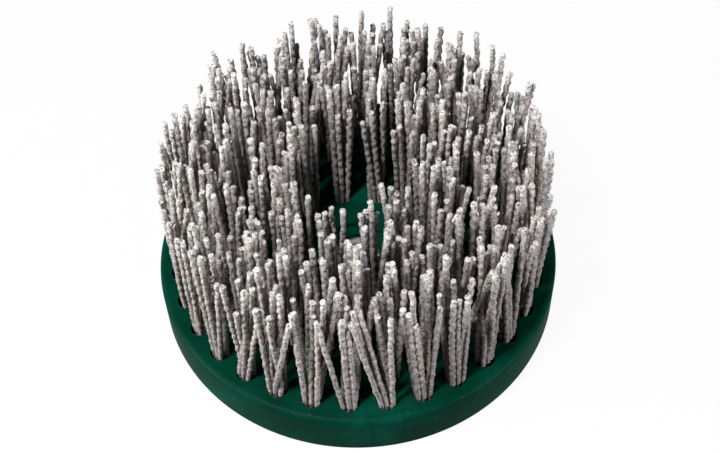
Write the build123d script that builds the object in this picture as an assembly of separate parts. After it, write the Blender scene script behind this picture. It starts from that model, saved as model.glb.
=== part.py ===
from build123d import *
from math import atan2, cos, degrees, pi, sin
from random import Random
import os

# Abrasive disc brush for a small angle grinder. Millimetres.
# The origin is the centre of the back face, and +Z runs out along the bristles.

# Backing disc
DISC_DIAMETER = 100.0
DISC_THICKNESS = 12.25
FRONT_EDGE_CHAMFER = 1.0

# Well over the threaded insert, on the bristle side
WELL_DIAMETER = 16.4
WELL_DEPTH = 1.6
WELL_MOUTH_DIAMETER = 11.2

# Threaded insert, M10 x 1.5
INSERT_HEIGHT = 9.2
FLANGE_ACROSS_FLATS = 18.0
FLANGE_HEIGHT = 4.8
NUT_ACROSS_FLATS = 14.0
THREAD_MINOR_DIAMETER = 8.5
THREAD_LENGTH = 5.6
LEAD_IN_DIAMETER = 10.4
THREAD_CHAMFER = 0.6

# Tuft holes
OUTER_RING_INSET = 5.4
INNER_RING_RADIUS = 17.3
HOLE_DEPTH = 6.5

# Bristles and the anchor wires that hold them
FILAMENT_WIDTH = 1.1
FILAMENTS_PER_TUFT = 3
MEAN_LENGTH = 34.0
LENGTH_SCATTER = 4.8
TUFT_SCATTER = 1.7
ANCHOR_THICKNESS = 0.4
ANCHOR_HEIGHT = 1.2
FIT_CLEARANCE = 0.04
TIP_GAP = 0.25
FILL_SEED = 7

# The rings, innermost first: tufts in each, angle of its first tuft, and tufts that share one node
TUFTS_IN_RING = (12, 16, 21, 26, 32)
FIRST_TUFT_ANGLES = (72.3, 8.0, 14.0, 3.5, -4.0)
TUFTS_PER_NODE = (1, 2, 3, 3, 4)

DISC_RADIUS = DISC_DIAMETER / 2
HOLE_FLOOR = DISC_THICKNESS - HOLE_DEPTH
RING_COUNT = len(TUFTS_IN_RING)
OUTER_RING_RADIUS = DISC_RADIUS - OUTER_RING_INSET
RING_PITCH = (OUTER_RING_RADIUS - INNER_RING_RADIUS) / (RING_COUNT - 1)

# A folded filament straddles the anchor wire, so its legs stand this far from the tuft's axis
LEG_INNER_FACE = ANCHOR_THICKNESS / 2 + FIT_CLEARANCE
LEG_OFFSET = LEG_INNER_FACE + FILAMENT_WIDTH / 2
FILAMENT_PITCH = FILAMENT_WIDTH + FIT_CLEARANCE


def ring_radius(ring):
    return INNER_RING_RADIUS + ring * RING_PITCH


def tuft_places(ring):
    """Places on a hole's floor: local X runs round the ring and local Y runs outwards."""
    count = TUFTS_IN_RING[ring]
    angles = [FIRST_TUFT_ANGLES[ring] + 360 * tuft / count for tuft in range(count)]
    return [Rot(0, 0, angle - 90) * Pos(0, ring_radius(ring), HOLE_FLOOR) for angle in angles]


def tip_pitch(ring):
    """Room between the tips of neighbouring filaments round the ring, at the tuft's inner edge."""
    inner_edge = ring_radius(ring) - RING_PITCH / 2
    return 2 * pi * inner_edge / TUFTS_IN_RING[ring] / FILAMENTS_PER_TUFT


def steepest_lean():
    """Sideways travel of the most splayed filament for each millimetre of its height."""
    tip_reach = max(tip_pitch(ring) for ring in range(RING_COUNT)) * FILAMENTS_PER_TUFT / 2
    shortest = HOLE_DEPTH + MEAN_LENGTH - LENGTH_SCATTER - TUFT_SCATTER
    return tip_reach / shortest


def hole_apothem():
    """Half the width of a tuft hole: it clears the splayed legs of the outer filaments at its mouth."""
    splay = steepest_lean() * HOLE_DEPTH
    half_round = (FILAMENTS_PER_TUFT - 1) / 2 * FILAMENT_PITCH + (FILAMENT_WIDTH + splay) / 2
    across = LEG_OFFSET + FILAMENT_WIDTH / 2 + splay / 3
    return half_round * cos(pi / 3) + across * sin(pi / 3) + FIT_CLEARANCE


HOLE_APOTHEM = hole_apothem()
# A leaning filament's bend stands on one edge, just clear of the hole's floor
BEND_LIFT = steepest_lean() * FILAMENT_WIDTH / 2


def tuft_hole():
    """Blind hole with its flats facing along the ring, where the anchor wire's ends bite."""
    section = RegularPolygon(HOLE_APOTHEM, 6, major_radius=False, rotation=30)
    return extrude(section, HOLE_DEPTH)


def insert_blank():
    """Outside of the insert: a hexagonal nut under a wider hexagonal flange that the moulding grips."""
    nut = extrude(RegularPolygon(NUT_ACROSS_FLATS / 2, 6, major_radius=False), INSERT_HEIGHT - FLANGE_HEIGHT)
    flange = extrude(RegularPolygon(FLANGE_ACROSS_FLATS / 2, 6, major_radius=False), FLANGE_HEIGHT)
    return nut + Pos(0, 0, INSERT_HEIGHT - FLANGE_HEIGHT) * flange


def threaded_insert():
    """Steel insert with a smooth lead-in over its thread, bored here to the thread's minor diameter."""
    minor = THREAD_MINOR_DIAMETER / 2
    lead_in = LEAD_IN_DIAMETER / 2
    bore_profile = Polyline(
        (0, 0),
        (minor + THREAD_CHAMFER, 0),
        (minor, THREAD_CHAMFER),
        (minor, THREAD_CHAMFER + THREAD_LENGTH),
        (lead_in, THREAD_CHAMFER + THREAD_LENGTH),
        (lead_in, INSERT_HEIGHT),
        (0, INSERT_HEIGHT),
        close=True,
    )
    bore = revolve(Plane.XZ * make_face(bore_profile), Axis.Z)
    return insert_blank() - bore


def disc_blank():
    """Outside of the disc, flat on both faces, with its front edge broken."""
    blank = Pos(0, 0, DISC_THICKNESS / 2) * Cylinder(DISC_RADIUS, DISC_THICKNESS)
    return chamfer(blank.edges().group_by(Axis.Z)[-1], FRONT_EDGE_CHAMFER)


def hub_well():
    """Open well above the insert: a wide step and a narrower mouth through the lip that covers the insert."""
    well_floor = DISC_THICKNESS - WELL_DEPTH
    step = Pos(0, 0, well_floor + WELL_DEPTH / 2) * Cylinder(WELL_DIAMETER / 2, WELL_DEPTH)
    lip = well_floor - INSERT_HEIGHT
    mouth = Pos(0, 0, INSERT_HEIGHT + lip / 2) * Cylinder(WELL_MOUTH_DIAMETER / 2, lip)
    return step + mouth


def backing_disc():
    hole = tuft_hole()
    holes = [place * hole for ring in range(RING_COUNT) for place in tuft_places(ring)]
    return disc_blank() - insert_blank() - hub_well() - holes


def anchor_wire():
    """Flat wire pressed across the hole, over the bends of the tuft's leaning filaments."""
    bend_top = BEND_LIFT + FILAMENT_WIDTH + steepest_lean() * FILAMENT_WIDTH / 2
    middle = bend_top + FIT_CLEARANCE + ANCHOR_HEIGHT / 2
    return Pos(0, 0, middle) * Box(2 * HOLE_APOTHEM, ANCHOR_THICKNESS, ANCHOR_HEIGHT)


def folded_filament(side, tip_shift, tips_across, lengths):
    """One filament folded under the anchor wire into two legs that splay apart and lean together."""
    half = FILAMENT_WIDTH / 2
    inner_top, outer_top = [HOLE_DEPTH + length for length in lengths]
    inner_tip, outer_tip = tips_across
    outline = Polyline(
        (-LEG_OFFSET - half, 0),
        (LEG_OFFSET + half, 0),
        (outer_tip + half, outer_top),
        (outer_tip - half, outer_top),
        (LEG_INNER_FACE, FILAMENT_WIDTH),
        (-LEG_INNER_FACE, FILAMENT_WIDTH),
        (inner_tip + half, inner_top),
        (inner_tip - half, inner_top),
        close=True,
    )
    filament = extrude(Plane.YZ * make_face(outline), half, both=True)
    lean = degrees(atan2(tip_shift, HOLE_DEPTH + MEAN_LENGTH))
    return Pos(side * FILAMENT_PITCH, 0, BEND_LIFT) * Rot(0, lean, 0) * filament


def tuft(ring, scatter):
    """Three folded filaments side by side. Each tip keeps to its own cell, so that no two meet."""
    round_cell = tip_pitch(ring)
    across_cell = RING_PITCH / 2
    round_play = (round_cell - FILAMENT_WIDTH - TIP_GAP) / 2
    across_play = (across_cell - FILAMENT_WIDTH - TIP_GAP) / 2
    tuft_length = MEAN_LENGTH + TUFT_SCATTER * scatter.uniform(-1, 1)
    filaments = []
    for index in range(FILAMENTS_PER_TUFT):
        side = index - (FILAMENTS_PER_TUFT - 1) / 2
        tip_shift = side * (round_cell - FILAMENT_PITCH) + round_play * scatter.uniform(-1, 1)
        tips_across = [
            end * across_cell / 2 + across_play * scatter.uniform(-1, 1) for end in (-1, 1)
        ]
        uneven = LENGTH_SCATTER * scatter.uniform(-1, 1)
        lengths = (tuft_length + uneven, tuft_length - uneven)
        filaments.append(folded_filament(side, tip_shift, tips_across, lengths))
    return filaments


def write_node(name, solids):
    """Writes the solids of one node, side by side in one file."""
    shape = solids[0] if len(solids) == 1 else Compound(children=solids)
    shape.label = name
    export_step(shape, f"parts/{name}.step")


def write_ring(ring):
    """One ring's tufts, a few to a node, and the anchor wires that hold them."""
    scatter = Random(FILL_SEED + ring)
    places = tuft_places(ring)
    share = TUFTS_PER_NODE[ring]
    for node, first in enumerate(range(0, len(places), share), start=1):
        filaments = [
            place * filament for place in places[first:first + share] for filament in tuft(ring, scatter)
        ]
        write_node(f"ring_{ring + 1}_tufts_{node:02d}", filaments)
    wire = anchor_wire()
    write_node(f"ring_{ring + 1}_anchor_wires", [place * wire for place in places])


os.makedirs("parts", exist_ok=True)
write_node("backing_disc", [backing_disc()])
write_node("threaded_insert", [threaded_insert()])
for ring in range(RING_COUNT):
    write_ring(ring)
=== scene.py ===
"""Abrasive disc brush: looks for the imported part, built on its own frame. Lengths are metres."""
import math

import bpy
import numpy as np
from mathutils import Matrix, Vector


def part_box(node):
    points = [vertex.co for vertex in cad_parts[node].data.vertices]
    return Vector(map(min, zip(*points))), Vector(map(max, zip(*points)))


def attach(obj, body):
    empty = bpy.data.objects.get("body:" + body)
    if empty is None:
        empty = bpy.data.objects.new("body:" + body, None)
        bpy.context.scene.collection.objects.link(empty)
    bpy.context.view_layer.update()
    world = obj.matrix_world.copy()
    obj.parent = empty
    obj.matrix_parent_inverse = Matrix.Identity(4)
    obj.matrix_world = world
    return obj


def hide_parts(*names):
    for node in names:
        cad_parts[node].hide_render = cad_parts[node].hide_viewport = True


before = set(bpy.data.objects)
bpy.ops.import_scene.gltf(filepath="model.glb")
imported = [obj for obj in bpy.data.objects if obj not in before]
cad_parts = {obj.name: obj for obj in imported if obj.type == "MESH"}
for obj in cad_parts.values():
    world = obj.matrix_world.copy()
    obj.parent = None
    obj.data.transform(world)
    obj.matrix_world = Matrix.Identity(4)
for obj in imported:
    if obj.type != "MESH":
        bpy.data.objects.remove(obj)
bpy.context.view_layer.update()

MM = 0.001


# ---------------------------------------------------------------- sizes

disc_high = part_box("backing_disc")[1]
insert_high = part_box("threaded_insert")[1]
DISC_RADIUS = disc_high.x
FACE_HEIGHT = disc_high.z
INSERT_HEIGHT = insert_high.z
RING_COUNT = sum(name.endswith("anchor_wires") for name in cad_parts)

# Backing disc.
FRONT_EDGE_ROUND = 1.5 * MM
BACK_EDGE_ROUND = 0.4 * MM
WELL_RADIUS = 8.2 * MM
WELL_DEPTH = 1.6 * MM
WELL_MOUTH_RADIUS = 5.6 * MM
WELL_LIP = 0.25 * MM
DISC_SEGMENTS = 192
HOLE_DEPTH = 6.5 * MM
HOLE_SEGMENTS = 24
BURR_HEIGHT = 0.16 * MM
BURR_WIDTH = 0.42 * MM
BURR_SINK = 0.05 * MM
BURR_SEGMENTS = 28
BURR_SEED = 5

# Threaded insert, a nut under a wider flange.
FLANGE_HALF_FLATS = insert_high.y
FLANGE_BOTTOM = INSERT_HEIGHT - 4.8 * MM
NUT_HALF_FLATS = 7.0 * MM
NUT_CHAMFER = 0.2 * MM
THREAD_PITCH = 1.5 * MM
THREAD_MINOR_RADIUS = 4.25 * MM
THREAD_DEPTH = 0.72 * MM
THREAD_LENGTH = 5.6 * MM
THREAD_CHAMFER = 0.6 * MM
GROOVE_HALF_WIDTH = 0.42        # of a pitch
LEAD_IN_RADIUS = 5.2 * MM
LEAD_IN_CHAMFER = 0.3 * MM
THREAD_SEGMENTS = 96
THREAD_ROWS = 84

# One filament.
FILAMENT_RADIUS = 0.66 * MM
FILAMENT_SIDES = 8
RING_SPACING = 0.42 * MM        # from one ring of points to the next
CRIMP_PERIOD = 2.9 * MM
CRIMP_AMPLITUDE = 0.15 * MM
SIDE_WOBBLE = 0.07 * MM         # across the plane of the crimp
CRIMP_SWELL = 0.022 * MM        # thicker and thinner places along it
GRIT_LUMP = 0.045 * MM          # grains that stand out of the skin
TIP_TRIM = 0.35 * MM            # keeps a ragged tip below the tip of its solid
TIP_RAGGEDNESS = 0.09 * MM

# The fill as a whole. Wander and lean are measured at the tips.
TUFT_LEAN = 0.8 * MM            # of all the legs of a tuft together
TIP_WANDER = 1.8 * MM           # of one leg
STRAY_WANDER = 3.2 * MM
STRAY_SHARE = 0.18              # of the legs
WANDER_CUT = 1.6                # times the wander, and no tip goes further
FREEDOM_AT_AXIS = 0.65          # the inner rings stand closer packed
FREEDOM_GAIN = 0.6              # and the outer ones are free to splay
TIP_DRIFT = (0.1 * MM, 1.4 * MM)
TIP_LIMIT = DISC_RADIUS - 4.0 * MM
STRAY_LIMIT = DISC_RADIUS - 2.4 * MM
LEG_ROOM = 1.42 * MM            # between the centre lines of two legs
NEIGHBOUR_REACH = 5 * MM
LEVEL_SPACING = 2.4 * MM
SETTLING_ROUNDS = 40
FILL_SEED = 4


# ---------------------------------------------------------------- materials

def colour(hex_code):
    """An sRGB hex colour as the linear colour that the shaders take."""
    parts = [int(hex_code[i:i + 2], 16) / 255 for i in (1, 3, 5)]
    linear = [p / 12.92 if p <= 0.04045 else ((p + 0.055) / 1.055) ** 2.4 for p in parts]
    return (*linear, 1.0)


def add_node(tree, kind, links=None, **settings):
    """Adds a node, gives its inputs their values or links, and sets its properties."""
    node = tree.nodes.new(kind)
    for name, value in settings.items():
        setattr(node, name, value)
    for socket, value in (links or {}).items():
        if isinstance(value, bpy.types.NodeSocket):
            tree.links.new(value, node.inputs[socket])
        else:
            node.inputs[socket].default_value = value
    return node


def new_material(name):
    """An empty material, with its tree and its output node."""
    material = bpy.data.materials.new(name)
    material.use_nodes = True
    tree = material.node_tree
    tree.nodes.clear()
    output = add_node(tree, "ShaderNodeOutputMaterial")
    return material, tree, output


def colour_steps(tree, factor, steps, interpolation="LINEAR"):
    """A colour ramp with the given places and hex colours."""
    ramp = add_node(tree, "ShaderNodeValToRGB", {"Fac": factor})
    ramp.color_ramp.interpolation = interpolation
    elements = ramp.color_ramp.elements
    while len(elements) < len(steps):
        elements.new(0.5)
    for element, (place, hex_code) in zip(elements, steps):
        element.position = place
        element.color = colour(hex_code)
    return ramp.outputs["Color"]


def grit_nylon():
    """Extruded and crimped nylon 6.12 loaded with silicon carbide grit.

    Matt and speckled grey, a little different from filament to filament, with painted shade that
    darkens it near the disc, and paler at the worn tips.
    """
    material, tree, output = new_material("silicon_carbide_grit_nylon")
    place = add_node(tree, "ShaderNodeTexCoord").outputs["Object"]
    tone = add_node(tree, "ShaderNodeAttribute", attribute_name="filament_tone").outputs["Fac"]
    reach = add_node(tree, "ShaderNodeAttribute", attribute_name="filament_reach").outputs["Fac"]
    body = colour_steps(tree, tone, [(0.0, "#918b88"), (0.4, "#a39e9b"), (0.65, "#aea7a5"),
                                     (0.8, "#aca2a0"), (1.0, "#bdbab8")])
    # Painted shade: the reach ramp darkens the legs near the disc, where shade falls between them;
    # the paler tips are wear.
    wear_and_painted_shade = colour_steps(tree, reach, [(0.0, "#7d7876"), (0.5, "#98938f"), (0.8, "#b4b0ae"),
                                      (0.94, "#cbc8c6"), (1.0, "#dddbd9")])
    blend = add_node(tree, "ShaderNodeMix", {"Factor": 0.65, "A": body, "B": wear_and_painted_shade},
                     data_type="RGBA")
    # The grit is about 0.1 mm. It is drawn as specks of about 0.3 mm, coarse enough to show.
    specks = add_node(tree, "ShaderNodeTexNoise",
                      {"Vector": place, "Scale": 1 / (0.55 * MM), "Detail": 3.0})
    speck_shade = colour_steps(tree, specks.outputs["Fac"],
                               [(0.36, "#544f4d"), (0.47, "#dedad8"), (0.6, "#ffffff")])
    speckled = add_node(tree, "ShaderNodeMix",
                        {"Factor": 0.86, "A": blend.outputs["Result"], "B": speck_shade},
                        data_type="RGBA", blend_type="MULTIPLY")
    grains = add_node(tree, "ShaderNodeTexNoise",
                      {"Vector": place, "Scale": 1 / (0.4 * MM), "Detail": 4.0})
    bump = add_node(tree, "ShaderNodeBump", {
        "Height": grains.outputs["Fac"],
        "Distance": 0.2 * MM,
        "Strength": 0.9,
    })
    shader = add_node(tree, "ShaderNodeBsdfPrincipled", {
        "Base Color": speckled.outputs["Result"],
        "Roughness": 0.82,
        "IOR": 1.53,
        "Specular IOR Level": 0.35,
        "Normal": bump.outputs["Normal"],
    })
    tree.links.new(shader.outputs["BSDF"], output.inputs["Surface"])
    return material


def moulded_green_plastic():
    """Bottle green polypropylene, moulded and then faced on a lathe.

    Satin and deep green, cloudy where the colour has flowed, with faint turning rings and a
    few pale scuffs.
    """
    material, tree, output = new_material("bottle_green_polypropylene")
    place = add_node(tree, "ShaderNodeTexCoord").outputs["Object"]
    flow = add_node(tree, "ShaderNodeTexNoise",
                    {"Vector": place, "Scale": 1 / (14 * MM), "Detail": 3.0})
    body = colour_steps(tree, flow.outputs["Fac"],
                        [(0.3, "#00251a"), (0.55, "#002d21"), (0.75, "#003e31")])
    # Scuffs and dust left by use, flecks of about 0.3 mm.
    flecks = add_node(tree, "ShaderNodeTexNoise",
                      {"Vector": place, "Scale": 1 / (0.8 * MM), "Detail": 5.0})
    wear_and_painted_shade = add_node(tree, "ShaderNodeMapRange", {
        "Value": flecks.outputs["Fac"],
        "From Min": 0.68,
        "From Max": 0.76,
        "To Max": 0.3,
    })
    scuffed = add_node(tree, "ShaderNodeMix",
                       {"Factor": wear_and_painted_shade.outputs["Result"], "A": body, "B": colour("#4f8678")},
                       data_type="RGBA")
    # The tool moved about 0.2 mm a turn. The rings are drawn 0.4 mm apart, so that they show.
    rings = add_node(tree, "ShaderNodeTexWave", {
        "Vector": place,
        "Scale": 0.314 / (0.4 * MM),
        "Distortion": 0.6,
        "Detail": 2.0,
        "Detail Scale": 2.0,
    }, wave_type="RINGS", rings_direction="Z")
    ring_bump = add_node(tree, "ShaderNodeBump", {
        "Height": rings.outputs["Fac"],
        "Distance": 0.006 * MM,
        "Strength": 0.5,
    })
    # Uneven skin of the moulding, in patches of about 2.5 mm.
    skin = add_node(tree, "ShaderNodeTexNoise",
                    {"Vector": place, "Scale": 1 / (2.5 * MM), "Detail": 4.0})
    skin_bump = add_node(tree, "ShaderNodeBump", {
        "Height": skin.outputs["Fac"],
        "Distance": 0.03 * MM,
        "Strength": 0.5,
        "Normal": ring_bump.outputs["Normal"],
    })
    gloss = add_node(tree, "ShaderNodeMapRange",
                     {"Value": flow.outputs["Fac"], "To Min": 0.4, "To Max": 0.55})
    shader = add_node(tree, "ShaderNodeBsdfPrincipled", {
        "Base Color": scuffed.outputs["Result"],
        "Roughness": gloss.outputs["Result"],
        "IOR": 1.49,
        "Specular IOR Level": 0.025,
        "Normal": skin_bump.outputs["Normal"],
    })
    tree.links.new(shader.outputs["BSDF"], output.inputs["Surface"])
    return material


def turned_steel():
    """Free-cutting steel straight off the lathe: bright silver, with fine circular tool lines."""
    material, tree, output = new_material("bright_turned_steel")
    place = add_node(tree, "ShaderNodeTexCoord").outputs["Object"]
    lines = add_node(tree, "ShaderNodeTexWave",
                     {"Vector": place, "Scale": 0.314 / (0.15 * MM), "Distortion": 1.0},
                     wave_type="RINGS", rings_direction="Z")
    bump = add_node(tree, "ShaderNodeBump",
                    {"Height": lines.outputs["Fac"], "Distance": 0.004 * MM})
    cloud = add_node(tree, "ShaderNodeTexNoise",
                     {"Vector": place, "Scale": 1 / (3 * MM), "Detail": 3.0})
    tint = colour_steps(tree, cloud.outputs["Fac"], [(0.3, "#cfcecb"), (0.7, "#e6e5e3")])
    rough = add_node(tree, "ShaderNodeMapRange",
                     {"Value": cloud.outputs["Fac"], "To Min": 0.22, "To Max": 0.4})
    shader = add_node(tree, "ShaderNodeBsdfPrincipled", {
        "Base Color": tint,
        "Metallic": 1.0,
        "Roughness": rough.outputs["Result"],
        "Normal": bump.outputs["Normal"],
    })
    tree.links.new(shader.outputs["BSDF"], output.inputs["Surface"])
    return material


def drawn_wire():
    """Flat steel wire, galvanised and drawn: dull silver with a cloudy zinc skin."""
    material, tree, output = new_material("galvanised_flat_wire")
    place = add_node(tree, "ShaderNodeTexCoord").outputs["Object"]
    cloud = add_node(tree, "ShaderNodeTexNoise",
                     {"Vector": place, "Scale": 1 / (0.8 * MM), "Detail": 3.0})
    tint = colour_steps(tree, cloud.outputs["Fac"], [(0.3, "#8b8c8a"), (0.7, "#b0b1ae")])
    shader = add_node(tree, "ShaderNodeBsdfPrincipled",
                      {"Base Color": tint, "Metallic": 1.0, "Roughness": 0.42})
    tree.links.new(shader.outputs["BSDF"], output.inputs["Surface"])
    return material


def backdrop_strength(tree):
    """White to the camera, grey in reflections, and next to nothing as a light."""
    path = add_node(tree, "ShaderNodeLightPath")
    mirrored = add_node(tree, "ShaderNodeMath", {0: path.outputs["Is Glossy Ray"], 1: 0.45},
                        operation="MULTIPLY")
    seen = add_node(tree, "ShaderNodeMath",
                    {0: path.outputs["Is Camera Ray"], 1: mirrored.outputs["Value"]},
                    operation="MAXIMUM")
    strength = add_node(tree, "ShaderNodeMath", {0: seen.outputs["Value"], 1: 0.01},
                        operation="MAXIMUM")
    return strength.outputs["Value"]


def studio_card():
    """Matt white card under the brush: white to the camera, with a little of the shadow."""
    material, tree, output = new_material("matt_white_card")
    fibre = add_node(tree, "ShaderNodeTexNoise", {"Scale": 1 / (4 * MM), "Detail": 2.0})
    tint = colour_steps(tree, fibre.outputs["Fac"], [(0.3, "#c4c4c3"), (0.7, "#c8c8c7")])
    card = add_node(tree, "ShaderNodeBsdfDiffuse", {"Color": tint})
    glow = add_node(tree, "ShaderNodeEmission",
                    {"Color": (1, 1, 1, 1), "Strength": backdrop_strength(tree)})
    both = add_node(tree, "ShaderNodeMixShader",
                    {0: 0.94, 1: card.outputs["BSDF"], 2: glow.outputs["Emission"]})
    tree.links.new(both.outputs["Shader"], output.inputs["Surface"])
    return material


GRIT_NYLON = grit_nylon()
GREEN_PLASTIC = moulded_green_plastic()
TURNED_STEEL = turned_steel()
FLAT_WIRE = drawn_wire()


# ---------------------------------------------------------------- meshes

def add_piece(name, vertices, faces, material, nodes=(), smooth_below=35):
    """Makes one object of the brush, and hides the nodes of the frame that it stands for."""
    mesh = bpy.data.meshes.new(name)
    mesh.from_pydata([tuple(v) for v in vertices], [], faces)
    mesh.update()
    piece = bpy.data.objects.new(name, mesh)
    bpy.context.scene.collection.objects.link(piece)
    finish_piece(piece, material, nodes, smooth_below)
    return piece


def finish_piece(piece, material, nodes=(), smooth_below=35):
    """Gives a piece its material and body. Edges under smooth_below degrees are smooth."""
    piece.data.materials.clear()
    piece.data.materials.append(material)
    piece.data.shade_smooth()
    piece.data.set_sharp_from_angle(angle=math.radians(smooth_below))
    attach(piece, "root")
    if nodes:
        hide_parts(*nodes)


def lathe(profile, segments):
    """Turns a closed profile of (radius, height) points round the Z axis."""
    vertices = []
    faces = []
    count = len(profile)
    for step in range(segments):
        angle = 2 * math.pi * step / segments
        vertices += [(r * math.cos(angle), r * math.sin(angle), z) for r, z in profile]
    for step in range(segments):
        here = step * count
        there = (step + 1) % segments * count
        for i in range(count):
            j = (i + 1) % count
            faces.append((here + i, there + i, there + j, here + j))
    return vertices, faces


def arc_points(centre, radius, start, end, steps):
    """Points along an arc from one angle to another, in degrees."""
    return [
        (centre[0] + radius * math.cos(a), centre[1] + radius * math.sin(a))
        for a in np.radians(np.linspace(start, end, steps + 1))
    ]


def islands(node):
    """The points of a node, the points each is joined to, and the points of each solid."""
    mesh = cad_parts[node].data
    raw = np.array([tuple(v.co) for v in mesh.vertices])
    keys = np.round(raw / (0.001 * MM)).astype(np.int64)
    unique, back = np.unique(keys, axis=0, return_inverse=True)
    back = back.ravel()
    points = unique * 0.001 * MM
    links = [set() for _ in points]
    for edge in mesh.edges:
        a, b = back[edge.vertices[0]], back[edge.vertices[1]]
        if a != b:
            links[a].add(b)
            links[b].add(a)
    return points, links, connected(range(len(points)), links)


def connected(members, links):
    """Splits points into groups that are joined to each other by links inside the set."""
    left = set(members)
    groups = []
    while left:
        queue = [min(left)]
        left.discard(queue[0])
        group = []
        while queue:
            here = queue.pop()
            group.append(here)
            for other in sorted(links[here]):
                if other in left:
                    left.discard(other)
                    queue.append(other)
        groups.append(group)
    return groups


def legs_of_node(node):
    """Each folded filament of a node as two legs, with the places of its bend and of its tip."""
    points, links, groups = islands(node)
    filaments = []
    for group in groups:
        # The eight lowest corners are the bend, and the others are the ends of the legs.
        order = sorted(group, key=lambda i: points[i][2])
        bend, top = order[:8], order[8:]
        legs = []
        for tip in connected(top, links):
            foot = {i for t in tip for i in links[t] if i in bend}
            legs.append((points[list(foot)].mean(axis=0), points[tip].mean(axis=0)))
        filaments.append(legs)
    return filaments


# ---------------------------------------------------------------- backing disc

def anchor_places():
    """Centre of every anchor wire, which lies across its tuft hole, and half its length."""
    places = []
    for ring in range(1, RING_COUNT + 1):
        points, _, groups = islands(f"ring_{ring}_anchor_wires")
        for group in groups:
            corners = points[group]
            centre = corners.mean(axis=0)
            spread = corners[:, :2] - centre[:2]
            along = np.array([centre[1], -centre[0]]) / np.hypot(*centre[:2])
            places.append((centre, np.abs(spread @ along).max()))
    return places


WIRES = anchor_places()
HOLE_RADIUS = max(half_length for _, half_length in WIRES)
HOLE_FLOOR = FACE_HEIGHT - HOLE_DEPTH


def disc_profile():
    """Half section of the disc, from the mouth of the well round the rim and back to it."""
    well_floor = FACE_HEIGHT - WELL_DEPTH
    back_edge = (DISC_RADIUS - BACK_EDGE_ROUND, BACK_EDGE_ROUND)
    front_edge = (DISC_RADIUS - FRONT_EDGE_ROUND, FACE_HEIGHT - FRONT_EDGE_ROUND)
    profile = [(WELL_MOUTH_RADIUS, 0), (back_edge[0], 0)]
    profile += arc_points(back_edge, BACK_EDGE_ROUND, -90, 0, 4)[1:]
    profile += arc_points(front_edge, FRONT_EDGE_ROUND, 0, 90, 8)
    profile += arc_points((WELL_RADIUS + WELL_LIP, FACE_HEIGHT - WELL_LIP), WELL_LIP, 90, 180, 3)
    profile += [(WELL_RADIUS, well_floor), (WELL_MOUTH_RADIUS + WELL_LIP, well_floor)]
    profile += arc_points((WELL_MOUTH_RADIUS + WELL_LIP, well_floor - WELL_LIP),
                          WELL_LIP, 90, 180, 3)[1:]
    return profile


def hole_burrs():
    """Thin lips of plastic that the drill pushed up round the mouths of the tuft holes."""
    generator = np.random.default_rng(BURR_SEED)
    count = BURR_SEGMENTS
    angles = np.linspace(0, 2 * math.pi, count, endpoint=False)
    sunk = np.full(count, -BURR_SINK)
    rings = []
    for centre, _ in WIRES:
        swing = 0.5 + 0.5 * np.sin(angles + generator.uniform(0, 2 * math.pi))
        crest = BURR_HEIGHT * np.clip(swing + 0.25 * generator.normal(size=count), 0.12, 1.1)
        profile = [(0.02 * MM, sunk), (0.3 * BURR_WIDTH, crest), (BURR_WIDTH, sunk)]
        corners = [np.stack([centre[0] + (HOLE_RADIUS + out) * np.cos(angles),
                             centre[1] + (HOLE_RADIUS + out) * np.sin(angles),
                             FACE_HEIGHT + rise], axis=1)
                   for out, rise in profile]
        faces = [(a * count + i, a * count + (i + 1) % count,
                  b * count + (i + 1) % count, b * count + i)
                 for a, b in ((0, 2), (2, 1), (1, 0)) for i in range(count)]
        rings.append(([tuple(v) for v in np.concatenate(corners)], faces))
    vertices, faces = joined(rings)
    return add_piece("tuft_hole_burrs", vertices, faces, GREEN_PLASTIC)


def prism(outline, low, high):
    """Closed prism on a flat outline of (x, y) points."""
    count = len(outline)
    vertices = [(x, y, low) for x, y in outline] + [(x, y, high) for x, y in outline]
    faces = [tuple(reversed(range(count))), tuple(range(count, 2 * count))]
    faces += [(i, (i + 1) % count, count + (i + 1) % count, count + i) for i in range(count)]
    return vertices, faces


def joined(parts):
    """Several lists of vertices and faces as one."""
    vertices = []
    faces = []
    for part_vertices, part_faces in parts:
        start = len(vertices)
        vertices += part_vertices
        faces += [tuple(start + i for i in face) for face in part_faces]
    return vertices, faces


def hole_cutters():
    """One round cutter for each tuft hole."""
    cutters = []
    for centre, _ in WIRES:
        outline = [(centre[0] + HOLE_RADIUS * math.cos(a), centre[1] + HOLE_RADIUS * math.sin(a))
                   for a in np.linspace(0, 2 * math.pi, HOLE_SEGMENTS, endpoint=False)]
        cutters.append(prism(outline, HOLE_FLOOR, FACE_HEIGHT + MM))
    return joined(cutters)


def insert_cutters():
    """Pocket for the insert: the nut's hexagon under the wider one of its flange.

    They overlap, so each is cut by itself.
    """
    return [prism(hexagon(NUT_HALF_FLATS), -MM, FLANGE_BOTTOM + 0.1 * MM),
            prism(hexagon(FLANGE_HALF_FLATS), FLANGE_BOTTOM, INSERT_HEIGHT)]


def hexagon(half_flats):
    """Corners of a hexagon with its flats facing Y."""
    corner = half_flats / math.cos(math.pi / 6)
    return [(corner * math.cos(a), corner * math.sin(a)) for a in np.radians(range(0, 360, 60))]


def hexagon_radius(angle, half_flats):
    """Distance from the axis to the hexagon's side at this angle."""
    offset = (angle - math.pi / 2) % (math.pi / 3)
    return half_flats / math.cos(min(offset, math.pi / 3 - offset))


def cut_away(piece, vertices, faces):
    """Cuts a closed mesh out of a piece."""
    mesh = bpy.data.meshes.new("cutter")
    mesh.from_pydata(vertices, [], faces)
    cutter = bpy.data.objects.new("cutter", mesh)
    bpy.context.scene.collection.objects.link(cutter)
    modifier = piece.modifiers.new("cut", "BOOLEAN")
    modifier.operation = "DIFFERENCE"
    modifier.solver = "EXACT"
    modifier.object = cutter
    view = bpy.context.evaluated_depsgraph_get()
    cut = bpy.data.meshes.new_from_object(piece.evaluated_get(view))
    piece.modifiers.clear()
    old = piece.data
    piece.data = cut
    bpy.data.meshes.remove(old)
    bpy.data.objects.remove(cutter)


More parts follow.
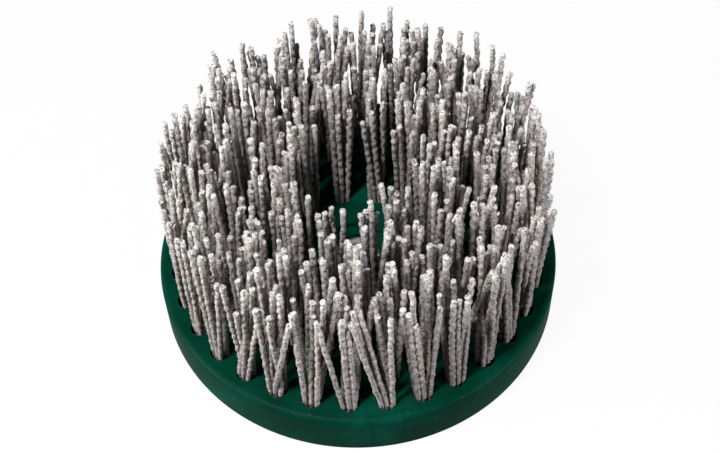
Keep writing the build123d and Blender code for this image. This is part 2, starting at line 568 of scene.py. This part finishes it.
def backing_disc():
    """The turned disc, with its tuft holes and the pocket for the insert."""
    vertices, faces = lathe(disc_profile(), DISC_SEGMENTS)
    piece = add_piece("green_backing_disc", vertices, faces, GREEN_PLASTIC,
                      ["backing_disc"])
    for cutter in (hole_cutters(), *insert_cutters()):
        cut_away(piece, *cutter)
    finish_piece(piece, GREEN_PLASTIC)
    return piece


# ---------------------------------------------------------------- threaded insert

def threaded_insert():
    """Hexagonal steel insert with a real helical thread under a smooth lead-in."""
    thread_top = THREAD_CHAMFER + THREAD_LENGTH
    columns = []
    for step in range(THREAD_SEGMENTS):
        angle = 2 * math.pi * step / THREAD_SEGMENTS
        column = []
        for row in range(THREAD_ROWS + 1):
            z = thread_top * row / THREAD_ROWS
            turn = (z / THREAD_PITCH - angle / (2 * math.pi)) % 1
            groove = max(0.0, 1 - abs(turn - 0.5) / GROOVE_HALF_WIDTH)
            flare = max(0.0, THREAD_CHAMFER - z)
            column.append((THREAD_MINOR_RADIUS + max(flare, THREAD_DEPTH * groove), z))
        column += [(LEAD_IN_RADIUS, thread_top + LEAD_IN_RADIUS - THREAD_MINOR_RADIUS),
                   (LEAD_IN_RADIUS, INSERT_HEIGHT - LEAD_IN_CHAMFER),
                   (LEAD_IN_RADIUS + LEAD_IN_CHAMFER, INSERT_HEIGHT)]
        flange = hexagon_radius(angle, FLANGE_HALF_FLATS)
        nut = hexagon_radius(angle, NUT_HALF_FLATS)
        column += [(flange, INSERT_HEIGHT), (flange, FLANGE_BOTTOM), (nut, FLANGE_BOTTOM),
                   (nut, NUT_CHAMFER), (nut - NUT_CHAMFER, 0)]
        columns.append([(r * math.cos(angle), r * math.sin(angle), z) for r, z in column])
    count = len(columns[0])
    vertices = [v for column in columns for v in column]
    faces = []
    for step in range(THREAD_SEGMENTS):
        here = step * count
        there = (step + 1) % THREAD_SEGMENTS * count
        for i in range(count):
            j = (i + 1) % count
            faces.append((here + i, here + j, there + j, there + i))
    return add_piece("steel_threaded_insert", vertices, faces, TURNED_STEEL,
                     ["threaded_insert"], smooth_below=40)


# ---------------------------------------------------------------- bristles

def smooth_noise(generator, count, spacing, sides=None):
    """Random values along a filament that change smoothly over a few rings."""
    shape = (count,) if sides is None else (count, sides)
    values = generator.normal(size=shape)
    kernel = np.exp(-np.linspace(-2, 2, 2 * spacing + 1) ** 2)
    kernel /= np.sqrt((kernel ** 2).sum())
    pad = np.concatenate([values[-spacing:], values, values[:spacing]])
    if sides is None:
        return np.convolve(pad, kernel, "valid")
    return np.stack([np.convolve(pad[:, s], kernel, "valid") for s in range(sides)], axis=1)


def tip_places(tips, tuft, tuft_count, generator):
    """Where each leg ends once its tuft leans and the leg itself wanders or strays."""
    middle = np.stack([tips[tuft == t, :2].mean(axis=0) for t in range(tuft_count)])
    middle_lean = generator.normal(size=middle.shape) * TUFT_LEAN
    stray = generator.uniform(size=len(tips)) < STRAY_SHARE
    wander = np.where(stray, STRAY_WANDER, TIP_WANDER)
    from_axis = np.linalg.norm(middle, axis=1) / DISC_RADIUS
    freedom = FREEDOM_AT_AXIS + FREEDOM_GAIN * from_axis ** 2
    astray = np.clip(generator.normal(size=(len(tips), 2)), -WANDER_CUT, WANDER_CUT)
    astray = astray * (wander * freedom[tuft])[:, None]
    splay = freedom[tuft, None] * (tips[:, :2] - middle[tuft])
    ends = (middle + middle_lean)[tuft] + splay + astray
    limit = np.where(stray, STRAY_LIMIT, TIP_LIMIT)
    reach = np.linalg.norm(ends, axis=1)
    return ends * np.minimum(1, limit / reach)[:, None] + TIP_DRIFT


def settle(feet, tips, generator):
    """Lets the legs lean as a real fill does, then pushes apart those that touch.

    Gives the height of each level, and each leg's place at every level, in metres.
    """
    shares = (FACE_HEIGHT - feet[:, 2]) / (tips[:, 2] - feet[:, 2])
    mouths = feet[:, :2] + shares[:, None] * (tips - feet)[:, :2]
    holes = np.array([centre[:2] for centre, _ in WIRES])
    tuft = np.linalg.norm(feet[:, None, :2] - holes[None], axis=2).argmin(axis=1)
    ends = tip_places(tips, tuft, len(holes), generator)
    levels = np.arange(FACE_HEIGHT, tips[:, 2].max() + LEVEL_SPACING, LEVEL_SPACING)
    climb = (levels[:, None] - FACE_HEIGHT) / (tips[None, :, 2] - FACE_HEIGHT)
    places = mouths[None] + climb[:, :, None] * (ends - mouths)[None]
    alive = climb < 1 + LEVEL_SPACING / (tips[:, 2].mean() - FACE_HEIGHT)
    gaps = np.linalg.norm(ends[:, None] - ends[None], axis=2)
    mouth_gaps = np.linalg.norm(mouths[:, None] - mouths[None], axis=2)
    close = np.minimum(gaps, mouth_gaps) < NEIGHBOUR_REACH
    first, second = np.nonzero(np.triu(close, 1))
    for _ in range(SETTLING_ROUNDS):
        apart = places[:, second] - places[:, first]
        distance = np.maximum(np.linalg.norm(apart, axis=2), 0.01 * MM)
        short = np.clip(LEG_ROOM - distance, 0, None) * (alive[:, first] & alive[:, second])
        push = apart * (0.4 * short / distance)[:, :, None]
        for level in range(1, len(levels)):
            np.add.at(places[level], second, push[level])
            np.add.at(places[level], first, -push[level])
        places[1:-1] = 0.6 * places[1:-1] + 0.2 * (places[2:] + places[:-2])
    return levels, places


def leg_line(foot, tip, levels, places, generator):
    """Centre line of one leg from the bend to the tip: through its places, then crimped.

    Also gives how far out of the disc each point is, from 0 at the face to 1 at the tip.
    """
    length = np.hypot(tip[2] - foot[2], np.linalg.norm(tip[:2] - foot[:2]))
    count = max(int(length / RING_SPACING), 8)
    heights = np.linspace(foot[2], tip[2] - TIP_TRIM, count + 1)
    stations = np.concatenate([[foot[2]], levels])
    line = np.stack([np.interp(heights, stations, np.concatenate([[foot[axis]], places[:, axis]]))
                     for axis in (0, 1)] + [heights], axis=1)
    for _ in range(4):
        line[1:-1] = (line[2:] + 2 * line[1:-1] + line[:-2]) / 4
    out = np.clip((heights - FACE_HEIGHT) / (tip[2] - FACE_HEIGHT), 0, 1)
    turn = generator.uniform(0, 2 * math.pi)
    plane = np.array([math.cos(turn), math.sin(turn), 0])
    other = np.array([-math.sin(turn), math.cos(turn), 0])
    period = CRIMP_PERIOD * generator.uniform(0.85, 1.2)
    phase = generator.uniform(0, 2 * math.pi) + 0.5 * smooth_noise(generator, count + 1, 12)
    wave = np.sin(2 * math.pi * heights / period + phase)
    # The crimp grows over the first sixth of the leg, so that the foot stays in its hole.
    grown = np.clip(out * 6, 0, 1)
    height_of_wave = CRIMP_AMPLITUDE * generator.uniform(0.6, 1.25)
    line += plane * (height_of_wave * grown * wave)[:, None]
    line += other * (smooth_noise(generator, count + 1, 5) * SIDE_WOBBLE * grown)[:, None]
    return line, out


def tube(line, radii):
    """Tube round a line, with a radius of its own for every point and a flat cap on each end."""
    count = len(line)
    along = np.gradient(line, axis=0)
    along /= np.linalg.norm(along, axis=1)[:, None]
    along[0], along[-1] = along[1], along[-2]
    side = np.cross(along, [0.31, 0.95, 0.05])
    side /= np.linalg.norm(side, axis=1)[:, None]
    up = np.cross(along, side)
    angles = np.linspace(0, 2 * math.pi, FILAMENT_SIDES, endpoint=False)
    rings = (line[:, None, :]
             + radii[:, :, None] * (side[:, None, :] * np.cos(angles)[None, :, None]
                                    + up[:, None, :] * np.sin(angles)[None, :, None]))
    vertices = np.concatenate([rings.reshape(-1, 3), line[:1], line[-1:]])
    i = np.arange(count - 1)[:, None] * FILAMENT_SIDES
    j = np.arange(FILAMENT_SIDES)[None, :]
    k = (j + 1) % FILAMENT_SIDES
    quads = np.stack([i + j, i + k, i + k + FILAMENT_SIDES, i + j + FILAMENT_SIDES], axis=-1)
    last = (count - 1) * FILAMENT_SIDES
    hub = count * FILAMENT_SIDES
    caps = [(hub, (s + 1) % FILAMENT_SIDES, s) for s in range(FILAMENT_SIDES)]
    caps += [(hub + 1, last + s, last + (s + 1) % FILAMENT_SIDES) for s in range(FILAMENT_SIDES)]
    return vertices, quads.reshape(-1, 4).tolist(), caps


def filament(legs, levels, places, generator):
    """One folded filament: down one leg, round the bend under the anchor wire and up the other."""
    (line_a, out_a), (line_b, out_b) = [
        leg_line(foot, tip, levels, places[:, side], generator)
        for side, (foot, tip) in enumerate(legs)
    ]
    dip = (legs[0][0] + legs[1][0]) / 2
    line = np.concatenate([line_a[::-1], dip[None], line_b])
    out = np.concatenate([out_a[::-1], [0], out_b])
    count = len(line)
    radius = FILAMENT_RADIUS * generator.uniform(0.93, 1.07)
    lumps = smooth_noise(generator, count, 1, FILAMENT_SIDES) * GRIT_LUMP
    swell = smooth_noise(generator, count, 2) * CRIMP_SWELL
    radii = radius + lumps + swell[:, None]
    # The cutter leaves the ends square, and some a little flared.
    for end, below in ((0, 1), (-1, -2)):
        radii[end] *= generator.uniform(0.95, 1.08)
        radii[below] *= generator.uniform(1.0, 1.12)
    vertices, quads, caps = tube(line, radii)
    last = (count - 1) * FILAMENT_SIDES
    for ring in (slice(0, FILAMENT_SIDES), slice(last, last + FILAMENT_SIDES)):
        vertices[ring, 2] += generator.uniform(-1, 1, FILAMENT_SIDES) * TIP_RAGGEDNESS
    reach = np.concatenate([np.repeat(out, FILAMENT_SIDES), [1, 1]])
    return vertices, quads, caps, reach


def bristles():
    """The whole fill: every filament of the frame, settled together, one mesh for each node."""
    generator = np.random.default_rng(FILL_SEED)
    nodes = sorted(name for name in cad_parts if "tufts" in name)
    filaments = {node: legs_of_node(node) for node in nodes}
    legs = [leg for node in nodes for pair in filaments[node] for leg in pair]
    feet = np.array([foot for foot, _ in legs])
    tips = np.array([tip for _, tip in legs])
    levels, places = settle(feet, tips, generator)
    first = 0
    for node in nodes:
        count = 2 * len(filaments[node])
        bristle_node(node, filaments[node], levels, places[:, first:first + count], generator)
        first += count


def bristle_node(node, filaments, levels, places, generator):
    """All the filaments of one node as a single mesh, with each one's own tone and reach."""
    vertices, faces, reach, tone = [], [], [], []
    start = 0
    for index, legs in enumerate(filaments):
        both = places[:, 2 * index:2 * index + 2]
        points, quads, caps, out = filament(legs, levels, both, generator)
        vertices.append(points)
        faces += [[start + i for i in face] for face in quads + caps]
        reach.append(out)
        tone.append(np.full(len(points), generator.uniform()))
        start += len(points)
    piece = add_piece(node.replace("tufts", "bristles"), np.concatenate(vertices), faces,
                      GRIT_NYLON, [node], smooth_below=60)
    for label, values in (("filament_reach", reach), ("filament_tone", tone)):
        layer = piece.data.attributes.new(label, "FLOAT", "POINT")
        layer.data.foreach_set("value", np.concatenate(values).astype(np.float32))
    return piece


# ---------------------------------------------------------------- studio

def studio():
    """White card, a small hard key high on the front left, two softboxes and a pale room."""
    # The card lies a hair under the disc, so that the two flat faces don't share one plane.
    size, top = 2.0, -0.1 * MM
    vertices = [(-size, -size, top), (size, -size, top), (size, size, top), (-size, size, top)]
    mesh = bpy.data.meshes.new("white_card")
    mesh.from_pydata(vertices, [], [(0, 1, 2, 3)])
    card = bpy.data.objects.new("white_card", mesh)
    card.data.materials.append(studio_card())
    bpy.context.scene.collection.objects.link(card)
    add_lamp("high_key", (-0.23, -0.21, 0.68), 0.1, 7.2)
    add_lamp("left_softbox", (-0.7, -0.2, 0.16), 0.3, 8.2)
    add_lamp("right_softbox", (0.6, -0.36, 0.16), 0.3, 4.6)
    world = bpy.data.worlds.new("pale_room")
    world.use_nodes = True
    tree = world.node_tree
    tree.nodes.clear()
    sky = add_node(tree, "ShaderNodeBackground",
                   {"Color": (1, 1, 1, 1), "Strength": backdrop_strength(tree)})
    output = add_node(tree, "ShaderNodeOutputWorld")
    tree.links.new(sky.outputs["Background"], output.inputs["Surface"])
    bpy.context.scene.world = world


def add_lamp(name, place, size, power):
    """A round area lamp that faces the middle of the brush, its size in metres, power in watts."""
    target = Vector((0, 0, 0.03))
    data = bpy.data.lights.new(name, "AREA")
    data.shape = "DISK"
    data.size = size
    data.energy = power
    lamp = bpy.data.objects.new(name, data)
    lamp.location = place
    lamp.rotation_mode = "QUATERNION"
    lamp.rotation_quaternion = (target - Vector(place)).to_track_quat("-Z", "Y")
    bpy.context.scene.collection.objects.link(lamp)


def camera():
    """Camera on the brush's front, looking down at 53 degrees, with a slight roll."""
    distance = 7.0 * DISC_RADIUS
    elevation = math.radians(53.28)
    roll = math.radians(-1.94)
    forward = Vector((0, math.cos(elevation), -math.sin(elevation)))
    up = Vector((0, math.sin(elevation), math.cos(elevation)))
    right = Vector((1, 0, 0))
    place = -distance * forward + 0.0156 * DISC_RADIUS * right + 0.25473 * DISC_RADIUS * up
    rolled_right = math.cos(roll) * right + math.sin(roll) * up
    rolled_up = -math.sin(roll) * right + math.cos(roll) * up
    data = bpy.data.cameras.new("front_camera")
    data.sensor_width = 36
    data.lens = 67.2
    eye = bpy.data.objects.new("front_camera", data)
    turn = Matrix((rolled_right, rolled_up, -forward)).transposed()
    eye.matrix_world = Matrix.Translation(place) @ turn.to_4x4()
    bpy.context.scene.collection.objects.link(eye)
    bpy.context.scene.camera = eye


# ---------------------------------------------------------------- assembly

backing_disc()
hole_burrs()
threaded_insert()
bristles()
for ring in range(1, RING_COUNT + 1):
    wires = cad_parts[f"ring_{ring}_anchor_wires"]
    wires.data.materials.clear()
    wires.data.materials.append(FLAT_WIRE)
studio()
camera()

scene = bpy.context.scene
scene.view_settings.view_transform = "Standard"
